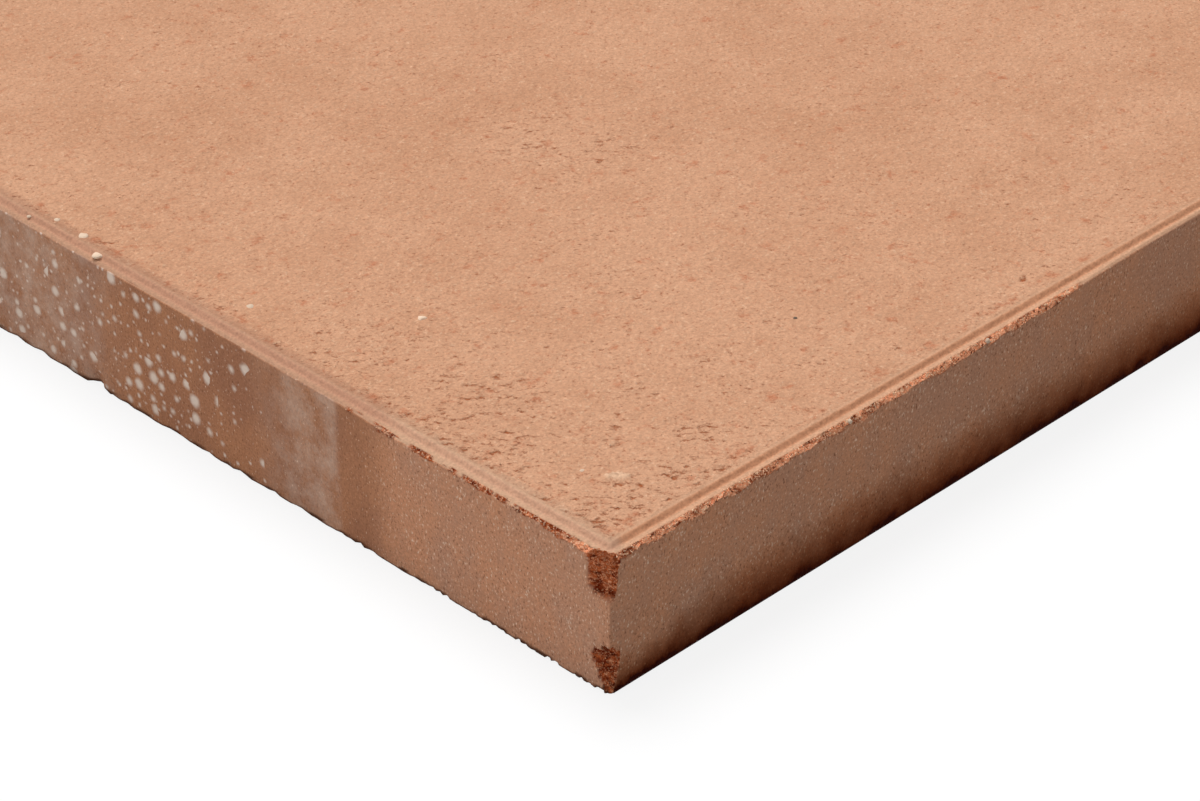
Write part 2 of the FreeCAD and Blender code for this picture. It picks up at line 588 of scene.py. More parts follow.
def scattered_spots(tree, place, spacing, radius, cover, softness):
    """A flat mask of round spots, about one in each cell that is chosen: 1 at the middle, 0 outside."""
    cells = add_node(tree, "ShaderNodeTexVoronoi", {"voronoi_dimensions": "2D"},
                     {"Vector": place, "Scale": 1.0 / spacing})
    draw = add_node(tree, "ShaderNodeSeparateXYZ", {}, {0: cells.outputs["Color"]})
    chosen = add_node(tree, "ShaderNodeMath", {"operation": "LESS_THAN"}, {0: draw.outputs[0], 1: cover})
    least, most = [value / spacing for value in radius]
    size = add_node(tree, "ShaderNodeMapRange", {},
                    {"Value": draw.outputs[1], "To Min": least, "To Max": most})
    inside = add_node(tree, "ShaderNodeMath", LESS, {0: size, 1: cells.outputs["Distance"]})
    edge = add_node(tree, "ShaderNodeMapRange", SMOOTH,
                    {"Value": inside, "From Max": softness / spacing})
    return add_node(tree, "ShaderNodeMath", TIMES, {0: edge, 1: chosen})


def ragged(tree, place, size, reach):
    """The same places shaken by noise, which makes the outlines of a pattern ragged."""
    shake = add_node(tree, "ShaderNodeTexNoise", {}, {"Vector": place, "Scale": 1.0 / size, "Detail": 1.0})
    centred = add_node(tree, "ShaderNodeVectorMath", LESS,
                       {0: shake.outputs["Color"], 1: (NOISE_MEAN, NOISE_MEAN, NOISE_MEAN)})
    return add_node(tree, "ShaderNodeVectorMath", TIMES_PLUS,
                    {0: centred, 1: (reach, reach, reach), 2: place})


# %% [markdown]
# ## Colour of the walking face
#
# Terracotta fires unevenly, so the field drifts between a pale and a deeper clay over a few centimetres.
# Where it is torn, redder clay shows, darkest in the pits. Dry dust and pale crumbs lie between them. One
# noise texture can't hold all these sizes, so each has its own, and the colours are mixed one over the
# other. The margin is pressed smooth and pale, and the sloping step is a little redder.

# %% Field
FIELD_DEEP = "#c79474"
FIELD_PALE = "#d09e7e"
FIELD_RED = "#b97251"
FIELD_PIT = "#a8623f"
FIELD_CRUMB = "#e6bf9f"
FIELD_PORE = "#9c5d3e"
BLOTCH_SIZE = 26.0
BLOTCH_RANGE = {"From Min": 0.3, "From Max": 0.7}
DUST_SHARE = 6.0
RED_SIZE = 3.2
RED_RANGE = {"From Min": 0.55, "From Max": 0.74, "To Max": 0.72}
RED_IN_TEARS = 0.1
RED_WHERE_RUBBED = 0.06
CRUMB_SIZE = 0.55
CRUMB_RANGE = {"From Min": 0.58, "From Max": 0.76, "To Max": 0.55}
PORE_RANGE = {"From Min": 0.4, "From Max": 0.22, "To Max": 0.7}
PORES_IN_TEARS = -0.2


def field_colour(tree, place, torn, rubbed, pits):
    """Colour of the face that is walked on."""
    blotch = add_node(tree, "ShaderNodeTexNoise", {},
                      {"Vector": place, "Scale": 1.0 / BLOTCH_SIZE, "Detail": 4.0, "Roughness": 0.6})
    pale = add_node(tree, "ShaderNodeMapRange", SMOOTH, {"Value": blotch, **BLOTCH_RANGE})
    pale = add_node(tree, "ShaderNodeMath", {"operation": "MULTIPLY_ADD", "use_clamp": True},
                    {0: torn, 1: DUST_SHARE, 2: pale})
    patch = add_node(tree, "ShaderNodeTexNoise", {},
                     {"Vector": place, "Scale": 1.0 / RED_SIZE, "Detail": 4.0, "Roughness": 0.75})
    bare = add_node(tree, "ShaderNodeMath", TIMES_PLUS, {0: torn, 1: RED_IN_TEARS, 2: patch})
    bare = add_node(tree, "ShaderNodeMath", TIMES_PLUS, {0: rubbed, 1: RED_WHERE_RUBBED, 2: bare})
    red = add_node(tree, "ShaderNodeMapRange", SMOOTH, {"Value": bare, **RED_RANGE})
    grains = add_node(tree, "ShaderNodeTexNoise", {},
                      {"Vector": place, "Scale": 1.0 / CRUMB_SIZE, "Detail": 2.0, "Roughness": 0.5})
    crumb = add_node(tree, "ShaderNodeMapRange", SMOOTH, {"Value": grains, **CRUMB_RANGE})
    sunk = add_node(tree, "ShaderNodeMath", TIMES_PLUS, {0: torn, 1: PORES_IN_TEARS, 2: grains})
    pore = add_node(tree, "ShaderNodeMapRange", SMOOTH, {"Value": sunk, **PORE_RANGE})
    colour = linear(FIELD_DEEP)
    for share, over in ((pale, FIELD_PALE), (red, FIELD_RED), (crumb, FIELD_CRUMB), (pore, FIELD_PORE),
                        (pits, FIELD_PIT)):
        colour = add_node(tree, "ShaderNodeMix", MIX_COLOURS,
                          {FACTOR: share, COLOUR_A: colour, COLOUR_B: linear(over)})
    return colour


# %% Rim of the walking face
MARGIN_PALE = "#d3a484"
STEP_CLAY = "#d69a76"
STEP_GREY = "#d8a384"
RIM_GREY = "#f4fafe"
RIM_DULL = "#e7e5e7"
RIM_DULL_REACH = (2.6, 4.6)


def top_colour(tree, field, mask, along_x, bared):
    """Colour of the field, the margin and the step, greyer and then duller beside the low X edge."""
    colour = add_node(tree, "ShaderNodeMix", MIX_COLOURS,
                      {FACTOR: mask["skin"], COLOUR_A: field, COLOUR_B: linear(MARGIN_PALE)})
    near = add_node(tree, "ShaderNodeMapRange", SMOOTH,
                    {"Value": along_x, "From Min": RIM_DULL_REACH[1], "From Max": RIM_DULL_REACH[0]})
    flank = add_node(tree, "ShaderNodeMix", MIX_COLOURS,
                     {FACTOR: near, COLOUR_A: linear(STEP_CLAY), COLOUR_B: linear(STEP_GREY)})
    colour = add_node(tree, "ShaderNodeMix", MIX_COLOURS,
                      {FACTOR: mask["step"], COLOUR_A: colour, COLOUR_B: flank})
    tint = add_node(tree, "ShaderNodeMix", MIX_COLOURS,
                    {FACTOR: bared, COLOUR_A: linear(RIM_GREY), COLOUR_B: linear(RIM_DULL)})
    return add_node(tree, "ShaderNodeMix", TINT_COLOURS,
                    {FACTOR: near, COLOUR_A: colour, COLOUR_B: tint})


# %% [markdown]
# ## Colour of the upright edges
#
# Where the clay slid against the mould it has a tight skin, drawn down in fine streaks. Washed sand shows
# in it as tiny bright specks near the broken corner, and the rest of the low X edge is browner and barer.

# %% Upright edges
SKIN_CLAY = "#cd9270"
SKIN_GREY = "#bf8f75"
BROWN_CLAY = "#b9815f"
BROWN_DEEP = "#a57257"
SKIN_SPECK = "#ecd0b9"
SKIN_PORE = "#7a4e39"
CLOUD_SIZE = 12.0
CLOUD_RANGE = {"From Min": 0.32, "From Max": 0.68}
SPECK_SIZE = 0.31
SPECK_RANGE = {"From Min": 0.6, "From Max": 0.76, "To Max": 0.8}
SPECKS_WHERE_BARE = -0.06
SKIN_PORE_RANGE = {"From Min": 0.41, "From Max": 0.24, "To Max": 0.7}
STREAK = (1.0, 1.0, 0.55)
SANDY_END = (43.0, 52.0)
LOW_FACE_REACH = 1.0


def on_low_face(tree, across, side):
    """A mask of the upright face at the low end of an axis."""
    low = add_node(tree, "ShaderNodeMath", {"operation": "LESS_THAN"}, {0: across, 1: LOW_FACE_REACH})
    return add_node(tree, "ShaderNodeMath", TIMES, {0: low, 1: side})


def bared_part(tree, along_y):
    """A mask along the low X edge: 0 where it is sandy, and 1 past that."""
    return add_node(tree, "ShaderNodeMapRange", SMOOTH,
                    {"Value": along_y, "From Min": SANDY_END[0], "From Max": SANDY_END[1]})


def skin_colour(tree, place, along_x, bared, side):
    """Colour of the smooth skin on the upright edges."""
    drawn = add_node(tree, "ShaderNodeVectorMath", TIMES, {0: place, 1: STREAK})
    cloud = add_node(tree, "ShaderNodeTexNoise", {},
                     {"Vector": drawn, "Scale": 1.0 / CLOUD_SIZE, "Detail": 6.0, "Roughness": 0.7})
    cloud = add_node(tree, "ShaderNodeMapRange", SMOOTH, {"Value": cloud, **CLOUD_RANGE})
    sandy = add_node(tree, "ShaderNodeMix", MIX_COLOURS,
                     {FACTOR: cloud, COLOUR_A: linear(SKIN_CLAY), COLOUR_B: linear(SKIN_GREY)})
    brown = add_node(tree, "ShaderNodeMix", MIX_COLOURS,
                     {FACTOR: cloud, COLOUR_A: linear(BROWN_CLAY), COLOUR_B: linear(BROWN_DEEP)})
    bare = add_node(tree, "ShaderNodeMath", TIMES, {0: bared, 1: on_low_face(tree, along_x, side)})
    colour = add_node(tree, "ShaderNodeMix", MIX_COLOURS, {FACTOR: bare, COLOUR_A: sandy, COLOUR_B: brown})
    grains = add_node(tree, "ShaderNodeTexNoise", {},
                      {"Vector": drawn, "Scale": 1.0 / SPECK_SIZE, "Detail": 1.0})
    pore = add_node(tree, "ShaderNodeMapRange", SMOOTH, {"Value": grains, **SKIN_PORE_RANGE})
    rare = add_node(tree, "ShaderNodeMath", TIMES_PLUS, {0: bare, 1: SPECKS_WHERE_BARE, 2: grains})
    speck = add_node(tree, "ShaderNodeMapRange", SMOOTH, {"Value": rare, **SPECK_RANGE})
    for share, over in ((pore, SKIN_PORE), (speck, SKIN_SPECK)):
        colour = add_node(tree, "ShaderNodeMix", MIX_COLOURS,
                          {FACTOR: share, COLOUR_A: colour, COLOUR_B: linear(over)})
    return colour


# %% [markdown]
# ## Colour of broken clay, with painted light and shade
#
# A break shows the inside of the clay: coarse crumbs in orange and red-brown, with dark red holes between
# them, their darkness painted shade. Noise at the size of the crumbs, pushed to high contrast, gives that
# broken look. A slower noise paints shade into whole hollows and a little painted light onto the open
# parts. The crumbled low Y arris catches more light, so painted light makes its clay and its crumbs
# paler, in patches.

# %% Broken clay
# Painted shade: the dark holes and hollows of breaks. Painted light: their open parts and the pale crumbled
# arris.
BREAK_HOLE_PAINTED_SHADE = "#6a2a12"
BREAK_CLAY = "#a8552e"
BREAK_CRUMB = "#dfa07a"
ARRIS_CLAY_PAINTED_LIGHT = "#ffad82"
ARRIS_CRUMB_PAINTED_LIGHT = "#ffd8b4"
ARRIS_LIGHT_PATCH = 2.5
ARRIS_LIGHT_PATCH_RANGE = {"From Min": 0.33, "From Max": 0.5}
ARRIS_SOLID = 0.01
LIT_ARRIS_REACH = (3.0, 12.0)
BREAK_GRAIN = 0.85
BREAK_SOLID_RANGE = {"From Min": 0.33, "From Max": 0.48}
BREAK_CRUMB_RANGE = {"From Min": 0.52, "From Max": 0.7}
HOLLOW_SHADE_SIZE = 1.9
HOLLOW_SHADE_RANGE = {"From Min": 0.57, "From Max": 0.38}
HOLLOW_PAINTED_SHADE = "#ad7c61"
ARRIS_HOLLOW_PAINTED_SHADE = "#eee0d6"
OPEN_PAINTED_LIGHT = (1.12, 1.12, 1.12, 1.0)
BREAK_LAYERS = (1.0, 1.0, 1.9)


def broken_colour(tree, place, along_y, crumbled):
    """Colour of the raw clay inside a break, with painted shade in its holes and hollows and painted light
    on its open parts, in patches much paler with painted light where the low Y arris crumbled.
    """
    layers = add_node(tree, "ShaderNodeVectorMath", TIMES, {0: place, 1: BREAK_LAYERS})
    crumbs = add_node(tree, "ShaderNodeTexNoise", {},
                      {"Vector": layers, "Scale": 1.0 / BREAK_GRAIN, "Detail": 3.0, "Roughness": 0.65})
    crumbs = add_node(tree, "ShaderNodeMath", TIMES_PLUS, {0: crumbled, 1: ARRIS_SOLID, 2: crumbs})
    # Painted light: the crumbled low Y arris near the broken corner is paler in patches.
    arris_light_reach = add_node(tree, "ShaderNodeMapRange", SMOOTH,
                        {"Value": along_y, "From Min": LIT_ARRIS_REACH[1], "From Max": LIT_ARRIS_REACH[0]})
    lit_arris = add_node(tree, "ShaderNodeMath", TIMES, {0: arris_light_reach, 1: crumbled})
    patch = add_node(tree, "ShaderNodeTexNoise", {}, {"Vector": place, "Scale": 1.0 / ARRIS_LIGHT_PATCH})
    patch = add_node(tree, "ShaderNodeMapRange", SMOOTH, {"Value": patch, **ARRIS_LIGHT_PATCH_RANGE})
    pale = add_node(tree, "ShaderNodeMath", TIMES, {0: patch, 1: lit_arris})
    clay = add_node(tree, "ShaderNodeMix", MIX_COLOURS,
                    {FACTOR: pale, COLOUR_A: linear(BREAK_CLAY), COLOUR_B: linear(ARRIS_CLAY_PAINTED_LIGHT)})
    solid = add_node(tree, "ShaderNodeMapRange", SMOOTH, {"Value": crumbs, **BREAK_SOLID_RANGE})
    colour = add_node(tree, "ShaderNodeMix", MIX_COLOURS,
                      {FACTOR: solid, COLOUR_A: linear(BREAK_HOLE_PAINTED_SHADE), COLOUR_B: clay})
    crumb = add_node(tree, "ShaderNodeMix", MIX_COLOURS,
                     {FACTOR: lit_arris, COLOUR_A: linear(BREAK_CRUMB), COLOUR_B: linear(ARRIS_CRUMB_PAINTED_LIGHT)})
    bright = add_node(tree, "ShaderNodeMapRange", SMOOTH, {"Value": crumbs, **BREAK_CRUMB_RANGE})
    colour = add_node(tree, "ShaderNodeMix", MIX_COLOURS,
                      {FACTOR: bright, COLOUR_A: colour, COLOUR_B: crumb})
    # Painted shade darkens whole hollows, and painted light brightens the open parts between them.
    hollow_shade = add_node(tree, "ShaderNodeTexNoise", {}, {"Vector": layers, "Scale": 1.0 / HOLLOW_SHADE_SIZE})
    hollow_shade = add_node(tree, "ShaderNodeMapRange", SMOOTH, {"Value": hollow_shade, **HOLLOW_SHADE_RANGE})
    painted_hollow_shade = add_node(tree, "ShaderNodeMix", MIX_COLOURS,
                    {FACTOR: lit_arris, COLOUR_A: linear(HOLLOW_PAINTED_SHADE), COLOUR_B: linear(ARRIS_HOLLOW_PAINTED_SHADE)})
    shade = add_node(tree, "ShaderNodeMix", MIX_COLOURS,
                     {FACTOR: hollow_shade, COLOUR_A: OPEN_PAINTED_LIGHT, COLOUR_B: painted_hollow_shade})
    return add_node(tree, "ShaderNodeMix", TINT_COLOURS,
                    {FACTOR: 1.0, COLOUR_A: colour, COLOUR_B: shade})


# %% [markdown]
# ## Lime, soot and painted shade
#
# Lime in the clay comes out as white dots and as a thin haze on a part of the low X edge. Along the foot
# of the low Y edge, painted shade darkens the clay almost to black, taller away from the broken corner.
# A dark band along the worn foot of the other edges is partly soot and partly painted shadow where the
# foot meets the floor. The painted shade takes blue light most and red light least, so it is brown
# before it is black: each channel is the same ramp raised to a power of its own. Such marks could be
# painted by hand. Here each is a mask with spots or noise in it.

# %% Lime
LIME_WHITE = "#efdccd"
LIME_STRETCH = (72.0, 92.0, 165.0, 200.0)
LIME_STRENGTH = 0.85
LIME_COVER = 0.58
LIME_SHAKE = {"size": 0.9, "reach": 0.5}
LARGE_LIME = {"spacing": 2.9, "radius": (0.55, 1.6), "softness": 1.1}
SMALL_LIME = {"spacing": 1.6, "radius": (0.15, 0.6), "softness": 0.6}
HAZE_SIZE = 5.0
FIRST_HAZE = (56.5, 58.5, 64.0, 80.0)
SECOND_HAZE = (105.0, 125.0, 160.0, 200.0)
HAZE_RANGE = {"From Min": 0.3, "From Max": 0.74, "To Max": 0.36}


def stretch(tree, along, limits):
    """A mask along an edge: it rises between the first two limits and falls between the last two."""
    rise = add_node(tree, "ShaderNodeMapRange", SMOOTH,
                    {"Value": along, "From Min": limits[0], "From Max": limits[1]})
    fall = add_node(tree, "ShaderNodeMapRange", SMOOTH,
                    {"Value": along, "From Min": limits[2], "From Max": limits[3],
                     "To Min": 1.0, "To Max": 0.0})
    return add_node(tree, "ShaderNodeMath", TIMES, {0: rise, 1: fall})


def lime_mask(tree, place, along_x, along_y, height, side):
    """Where lime lies on the low X edge."""
    flat = add_node(tree, "ShaderNodeCombineXYZ", {}, {0: along_y, 1: height})
    shaken = ragged(tree, flat, **LIME_SHAKE)
    share = stretch(tree, along_y, LIME_STRETCH)
    few = add_node(tree, "ShaderNodeMath", TIMES, {0: share, 1: LIME_COVER})
    large = scattered_spots(tree, shaken, cover=few, **LARGE_LIME)
    small = scattered_spots(tree, shaken, cover=few, **SMALL_LIME)
    spots = add_node(tree, "ShaderNodeMath", LARGER, {0: large, 1: small})
    spots = add_node(tree, "ShaderNodeMath", TIMES, {0: spots, 1: LIME_STRENGTH})
    veil = add_node(tree, "ShaderNodeTexNoise", {},
                    {"Vector": place, "Scale": 1.0 / HAZE_SIZE, "Detail": 5.0, "Roughness": 0.75})
    veil = add_node(tree, "ShaderNodeMapRange", SMOOTH, {"Value": veil, **HAZE_RANGE})
    hazes = add_node(tree, "ShaderNodeMath", LARGER,
                     {0: stretch(tree, along_y, FIRST_HAZE), 1: stretch(tree, along_y, SECOND_HAZE)})
    veil = add_node(tree, "ShaderNodeMath", TIMES, {0: veil, 1: hazes})
    both = add_node(tree, "ShaderNodeMath", LARGER, {0: spots, 1: veil})
    return add_node(tree, "ShaderNodeMath", TIMES, {0: both, 1: on_low_face(tree, along_x, side)})


# %% Painted shade along the foot
# Painted shade: the low Y edge is darkened towards its foot, almost to black.
FOOT_SHADE_LOW = (0.6, 0.3)
FOOT_SHADE_HIGH = (4.6, 10.8)
FOOT_SHADE_GROWTH = 24.0
FOOT_SHADE_DARKEST = 0.012
FOOT_SHADE_LIGHTEST = (0.97, 0.92)
FOOT_SHADE_FAR = (50.0, 110.0)
FOOT_SHADE_POWERS = (0.63, 1.03, 1.36)
FOOT_SHADE_WAVE = 6.0
FOOT_SHADE_WAVE_SIZE = 4.5


def painted_foot_shade(tree, place, along_x, along_y, height, unbroken):
    """What the painted shade along the foot of the low Y edge leaves of each channel. It is taller away
    from the corner.
    """
    wave = add_node(tree, "ShaderNodeTexNoise", {},
                    {"Vector": place, "Scale": 1.0 / FOOT_SHADE_WAVE_SIZE, "Detail": 4.0, "Roughness": 0.6})
    wave = add_node(tree, "ShaderNodeMath", LESS, {0: wave, 1: NOISE_MEAN})
    level = add_node(tree, "ShaderNodeMath", TIMES_PLUS, {0: wave, 1: FOOT_SHADE_WAVE, 2: height})
    foot, top = [add_node(tree, "ShaderNodeMapRange", {},
                          {"Value": along_x, "From Max": FOOT_SHADE_GROWTH, "To Min": near, "To Max": far})
                 for near, far in (FOOT_SHADE_LOW, FOOT_SHADE_HIGH)]
    least_shaded = add_node(tree, "ShaderNodeMapRange", {},
                        {"Value": along_x, "From Min": FOOT_SHADE_FAR[0], "From Max": FOOT_SHADE_FAR[1],
                         "To Min": FOOT_SHADE_LIGHTEST[0], "To Max": FOOT_SHADE_LIGHTEST[1]})
    clear_of_dark_foot = add_node(tree, "ShaderNodeMapRange", {},
                     {"Value": level, "From Min": foot, "From Max": top,
                      "To Min": FOOT_SHADE_DARKEST, "To Max": least_shaded})
    channels = [add_node(tree, "ShaderNodeMath", {"operation": "POWER"}, {0: clear_of_dark_foot, 1: power})
                for power in FOOT_SHADE_POWERS]
    foot_shade_tint = add_node(tree, "ShaderNodeCombineColor", {}, dict(enumerate(channels)))
    where = on_low_face(tree, along_y, unbroken)
    return add_node(tree, "ShaderNodeMix", MIX_COLOURS,
                    {FACTOR: where, COLOUR_A: linear(WHITE), COLOUR_B: foot_shade_tint})


# %% [markdown]
# ## The fired clay as one material
#
# Terracotta is an unglazed, porous earthenware, so it is matte and has hardly any shine. Its skin is a
# little smoother than its breaks. The masks made with the points choose between the colours, and bump
# gives the grain that is too fine for the mesh.

# %% Fine grain
GRAIN_SIZE = 0.55
GRAIN_HEIGHT = 0.18
LUMP_SIZE = 1.7
LUMP_HEIGHT = 0.45
SKIN_GRAIN_SHARE = 0.6
TEAR_DEPTH = 0.15


def grain_height(tree, place, smooth, pits):
    """Height of the fine grain, in mm: sand, small lumps and the edges of pits, lower on the skin."""
    sand = add_node(tree, "ShaderNodeTexNoise", {},
                    {"Vector": place, "Scale": 1.0 / GRAIN_SIZE, "Detail": 2.0, "Roughness": 0.6})
    lumps = add_node(tree, "ShaderNodeTexNoise", {},
                     {"Vector": place, "Scale": 1.0 / LUMP_SIZE, "Detail": 2.0, "Roughness": 0.6})
    height = add_node(tree, "ShaderNodeMath", TIMES, {0: sand, 1: GRAIN_HEIGHT})
    height = add_node(tree, "ShaderNodeMath", TIMES_PLUS, {0: lumps, 1: LUMP_HEIGHT, 2: height})
    rough = add_node(tree, "ShaderNodeMapRange", {},
                     {"Value": smooth, "To Min": 1.0, "To Max": SKIN_GRAIN_SHARE})
    height = add_node(tree, "ShaderNodeMath", TIMES, {0: height, 1: rough})
    return add_node(tree, "ShaderNodeMath", TIMES_PLUS, {0: pits, 1: -TEAR_DEPTH, 2: height})


# %% Layers of colour
# Partly soot and partly painted shadow where the worn foot meets the floor.
SOOT_AND_SHADOW_COLOUR = "#5a3a2a"
SAND_SIZE = 0.42
SAND_SHADE = {"From Min": 0.3, "From Max": 0.7, "To Min": 0.87, "To Max": 1.11}


def clay_places(tree):
    """A place from the middle of the underside, and how far it is along X, along Y and up, in mm."""
    coordinates = add_node(tree, "ShaderNodeTexCoord", {}, {})
    place = add_node(tree, "ShaderNodeVectorMath", {"operation": "SCALE"},
                     {0: coordinates.outputs["Object"], "Scale": 1.0 / MM})
    axes = add_node(tree, "ShaderNodeSeparateXYZ", {}, {0: place})
    along_x = add_node(tree, "ShaderNodeMath", PLUS, {0: axes.outputs["X"], 1: HALF})
    along_y = add_node(tree, "ShaderNodeMath", PLUS, {0: axes.outputs["Y"], 1: HALF})
    return place, along_x, along_y, axes.outputs["Z"]


def clean_colour(tree, mask, place, along_x, along_y, pits):
    """Colour of the walking face, the upright edges, the breaks with their painted light and shade, and the
    crumbs, before the lime, the soot and the painted foot shade.
    """
    bared = bared_part(tree, along_y)
    field = field_colour(tree, place, mask["torn"], mask["rubbed"], pits)
    colour = top_colour(tree, field, mask, along_x, bared)
    loose = add_node(tree, "ShaderNodeMix", MIX_COLOURS,
                     {FACTOR: mask["broken"], COLOUR_A: linear(FIELD_CRUMB), COLOUR_B: linear(BREAK_CRUMB)})
    # Crumbs on the crumbled low Y arris take its painted light.
    loose = add_node(tree, "ShaderNodeMix", MIX_COLOURS,
                     {FACTOR: mask["crumbled"], COLOUR_A: loose, COLOUR_B: linear(ARRIS_CRUMB_PAINTED_LIGHT)})
    layers = {"side": skin_colour(tree, place, along_x, bared, mask["side"]),
              "broken": broken_colour(tree, place, along_y, mask["crumbled"]),
              "crumb": loose}
    for name, over in layers.items():
        colour = add_node(tree, "ShaderNodeMix", MIX_COLOURS,
                          {FACTOR: mask[name], COLOUR_A: colour, COLOUR_B: over})
    sand = add_node(tree, "ShaderNodeTexNoise", {},
                    {"Vector": place, "Scale": 1.0 / SAND_SIZE, "Detail": 2.0})
    shade = add_node(tree, "ShaderNodeMapRange", {}, {"Value": sand, **SAND_SHADE})
    return add_node(tree, "ShaderNodeMix", TINT_COLOURS, {FACTOR: 1.0, COLOUR_A: colour, COLOUR_B: shade})


def stained_and_shaded_colour(tree, colour, mask, place, along_x, along_y, height):
    """A colour with the lime, the soot and its painted shadow, and the painted shade along the low Y foot
    over it.
    """
    lime = lime_mask(tree, place, along_x, along_y, height, mask["side"])
    for share, over in ((lime, LIME_WHITE), (mask["soot_and_shadow"], SOOT_AND_SHADOW_COLOUR)):
        colour = add_node(tree, "ShaderNodeMix", MIX_COLOURS,
                          {FACTOR: share, COLOUR_A: colour, COLOUR_B: linear(over)})
    unbroken = add_node(tree, "ShaderNodeMath", CLAMPED_LESS, {0: mask["side"], 1: mask["broken"]})
    # Painted shade along the foot of the low Y edge, laid over the clay's colour.
    foot_shade_tint = painted_foot_shade(tree, place, along_x, along_y, height, unbroken)
    return add_node(tree, "ShaderNodeMix", TINT_COLOURS, {FACTOR: 1.0, COLOUR_A: colour, COLOUR_B: foot_shade_tint})


# %% Fired clay
CLAY_IOR = 1.5
CLAY_SPECULAR = 0.03
ROUGH_TO_SMOOTH = {"To Min": 0.95, "To Max": 0.75}


def fired_clay():
    """Unglazed terracotta: matte, grainy, smoother where the mould pressed it and redder where it broke."""
    material = bpy.data.materials.new("unglazed_terracotta")
    material.use_nodes = True
    tree = material.node_tree
    tree.nodes.clear()
    place, along_x, along_y, height = clay_places(tree)
    mask = {name: add_node(tree, "ShaderNodeAttribute", {"attribute_name": name}, {}).outputs["Fac"]
            for name in ("skin", "side", "step", "rubbed", "torn", "broken", "crumbled", "soot_and_shadow", "crumb")}
    pits = torn_pits(tree, torn_place(tree, place), mask["torn"])
    bare = add_node(tree, "ShaderNodeMath", LESS, {0: 1.0, 1: mask["skin"]})
    pits = add_node(tree, "ShaderNodeMath", TIMES, {0: pits, 1: bare})
    colour = clean_colour(tree, mask, place, along_x, along_y, pits)
    colour = stained_and_shaded_colour(tree, colour, mask, place, along_x, along_y, height)

    smooth = add_node(tree, "ShaderNodeMath", LESS, {0: mask["skin"], 1: mask["broken"]})
    bump = add_node(tree, "ShaderNodeBump", {},
                    {"Strength": 1.0, "Distance": MM, "Height": grain_height(tree, place, smooth, pits)})
    roughness = add_node(tree, "ShaderNodeMapRange", {}, {"Value": smooth, **ROUGH_TO_SMOOTH})
    shader = add_node(tree, "ShaderNodeBsdfPrincipled", {},
                      {"Base Color": colour, "Roughness": roughness, "IOR": CLAY_IOR,
                       "Specular IOR Level": CLAY_SPECULAR, "Normal": bump})
    add_node(tree, "ShaderNodeOutputMaterial", {}, {"Surface": shader})
    print(f"{material.name}: {len(tree.nodes)} nodes")
    return material


clay = fired_clay()

# %% [markdown]
# ## Relief in the clay
#
# The pressed slab is still too clean. A Geometry Nodes tree pushes its points in or out along their
# normals: lumps and torn pits on the field, a ragged foot, and roughness on every break. Sculpting could
# do this by hand, but a tree can be tuned by its named sizes and gives the same result each time. It
# writes the torn clusters, the broken foot, and the soot and painted shadow along the worn foot back as
# masks for the finish.

# %% Relief of each kind
RELIEF_DETAIL = 3.0
FOOT_RAGGED = 4.0
FOOT_MEAN = 0.4


def centred_noise(tree, place, size, seed):
    """Noise about zero, with lumps as large as a size in mm."""
    scale = add_node(tree, "ShaderNodeMath", {"operation": "DIVIDE"}, {0: 1.0, 1: size})
    texture = add_node(tree, "ShaderNodeTexNoise", {"noise_dimensions": "4D"},
                       {"Vector": place, "W": seed, "Scale": scale, "Detail": RELIEF_DETAIL})
    return add_node(tree, "ShaderNodeMath", LESS, {0: texture, 1: NOISE_MEAN})


def field_relief(tree, place, given, mask):
    """Lumps of the field, in mm, where the grid is fine enough for them."""
    lumps = centred_noise(tree, place, given["Lump Size"], given["Seed"])
    lumps = add_node(tree, "ShaderNodeMath", TIMES, {0: lumps, 1: given["Lump Height"]})
    return add_node(tree, "ShaderNodeMath", TIMES, {0: lumps, 1: mask["fine"]})


def clustered(tree, place, given, mask):
    """How thickly the field is torn, gathered in clusters."""
    cluster = centred_noise(tree, place, given["Cluster Size"], given["Seed"])
    return add_node(tree, "ShaderNodeMath", TIMES_PLUS,
                    {0: cluster, 1: given["Cluster Strength"], 2: mask["torn"]})


def foot_loss(tree, place, given, mask):
    """How far the foot has crumbled past each point, in mm."""
    crumbs = centred_noise(tree, place, given["Foot Size"], given["Seed"])
    reach = add_node(tree, "ShaderNodeMath", TIMES_PLUS, {0: crumbs, 1: FOOT_RAGGED, 2: FOOT_MEAN})
    reach = add_node(tree, "ShaderNodeMath", TIMES, {0: reach, 1: given["Foot Height"]})
    reach = add_node(tree, "ShaderNodeMath", TIMES, {0: reach, 1: mask["foot_wear"]})
    return add_node(tree, "ShaderNodeMath", LESS, {0: reach, 1: mask["foot_gap"]})


def stored(tree, geometry, name, value):
    """The geometry with a value kept on its points under a name."""
    return add_node(tree, "GeometryNodeStoreNamedAttribute", {"data_type": "FLOAT", "domain": "POINT"},
                    {"Geometry": geometry, "Name": name, "Value": value})


# %% What the relief adds up to
LOSS_EDGE = 0.25
MOST_LOSS = 1.5
CRUMBS_STAND_OUT = 0.1
ARRIS_ROUGH_SHARE = 0.4
SOOT_AND_SHADOW_REACH = 0.3


def edge_of(tree, loss):
    """1 where something was lost and 0 where not."""
    return add_node(tree, "ShaderNodeMapRange", SMOOTH, {"Value": loss, "From Max": LOSS_EDGE})


def lost_height(tree, loss, depth):
    """How far a loss lowers the surface, in mm."""
    lost = add_node(tree, "ShaderNodeMapRange", {},
                    {"Value": loss, "From Max": MOST_LOSS, "To Max": MOST_LOSS})
    return add_node(tree, "ShaderNodeMath", TIMES, {0: lost, 1: depth})


